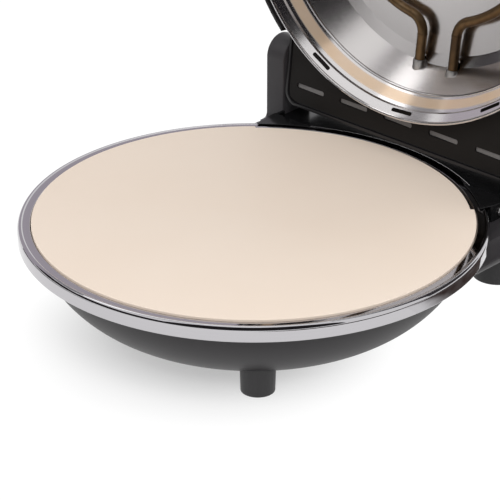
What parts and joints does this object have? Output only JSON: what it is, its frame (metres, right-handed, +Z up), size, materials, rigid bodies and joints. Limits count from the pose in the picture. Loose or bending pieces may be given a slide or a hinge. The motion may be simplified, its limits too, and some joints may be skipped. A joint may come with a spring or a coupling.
{
  "type": "electric pizza maker",
  "caption": "Electric pizza maker: round baking stone in a bright ring on a footed base, under a hinged domed lid with a heating element in its polished reflector.",
  "frame": {"origin": "centre of the baking stone's top face", "axes": "+X to the right seen from the front, +Y to the rear where the hinge is, +Z up; stored as it stands in use with the lid open"},
  "size_m": [0.336, 0.4047, 0.4679],
  "materials": {
    "shell_plastic": "satin moulded",
    "lid_plastic": "satin moulded",
    "deck_plastic": "gloss moulded",
    "vent_plastic": "satin moulded",
    "dial_plastic": "gloss moulded",
    "chromed_steel": "polished",
    "reflector_sheet": "bright rolled sheet",
    "plain_steel": "plain",
    "screw_steel": "plated",
    "element_sheath": "heat tinted",
    "baking_ceramic": "unglazed",
    "seal_ceramic": "unglazed",
    "foot_rubber": "moulded",
    "block_plastic": "moulded",
    "wire_silicone": "sleeved",
    "glass_wool": "felted",
    "bush_brass": "turned",
    "red_lens": "clear moulded",
    "green_lens": "clear moulded"
  },
  "bodies": {
    "base": {"base_bowl": "shell_plastic", "rear_housing": "shell_plastic", "hinge_tower_left": "shell_plastic", "hinge_tower_right": "shell_plastic", "chrome_ring": "chromed_steel", "hinge_deck": "deck_plastic", "deck_screws": "screw_steel", "reflector_pan": "reflector_sheet", "pan_screws": "screw_steel", "pan_spacers": "plain_steel", "heat_shield": "reflector_sheet", "lower_element": "element_sheath", "lower_element_clips": "plain_steel", "lower_element_glands": "seal_ceramic", "foot_front_left": "foot_rubber", "foot_front_right": "foot_rubber", "foot_rear_left": "foot_rubber", "foot_rear_right": "foot_rubber", "foot_screws": "screw_steel", "wiring_cover": "shell_plastic", "cover_screws": "screw_steel", "cord_gland": "foot_rubber", "terminal_block": "block_plastic", "base_wires": "wire_silicone", "hinge_pin_left": "plain_steel", "hinge_pin_right": "plain_steel"},
    "stone": {"baking_stone": "baking_ceramic"},
    "lid": {"lid_shell": "lid_plastic", "vent_panel": "vent_plastic", "vent_baffle": "plain_steel", "reflector_collar": "reflector_sheet", "upper_reflector": "reflector_sheet", "reflector_screws": "screw_steel", "upper_element": "element_sheath", "upper_element_clips": "plain_steel", "upper_element_glands": "plain_steel", "lid_insulation": "glass_wool", "hinge_bush_left": "bush_brass", "hinge_bush_right": "bush_brass", "control_fascia": "deck_plastic", "thermostat": "plain_steel", "timer": "block_plastic", "power_lamp": "red_lens", "ready_lamp": "green_lens", "lid_wires": "wire_silicone", "lid_handle": "dial_plastic", "handle_screws": "screw_steel"},
    "thermostat_control": {"thermostat_dial": "dial_plastic", "thermostat_shaft": "plain_steel"},
    "timer_control": {"timer_dial": "dial_plastic", "timer_shaft": "plain_steel"}
  },
  "joints": [
    {"name": "lid_hinge", "type": "hinge", "parent": "base", "child": "lid", "pos_m": [0, 0.1648, 0.025], "axis": [-1, 0, 0], "range_deg": [-96.6, 0]},
    {"name": "stone_lift", "type": "slide", "parent": "base", "child": "stone", "axis": [0, 0, 1], "range_m": [0, 0.0055]},
    {"name": "thermostat_turn", "type": "hinge", "parent": "lid", "child": "thermostat_control", "pos_m": [-0.046, 0.20472, 0.03072], "axis": [0, 0.9934, -0.1149], "range_deg": [0, 270]},
    {"name": "timer_turn", "type": "hinge", "parent": "lid", "child": "timer_control", "pos_m": [0.046, 0.20472, 0.03072], "axis": [0, 0.9934, -0.1149], "range_deg": [0, 330]}
  ]
}
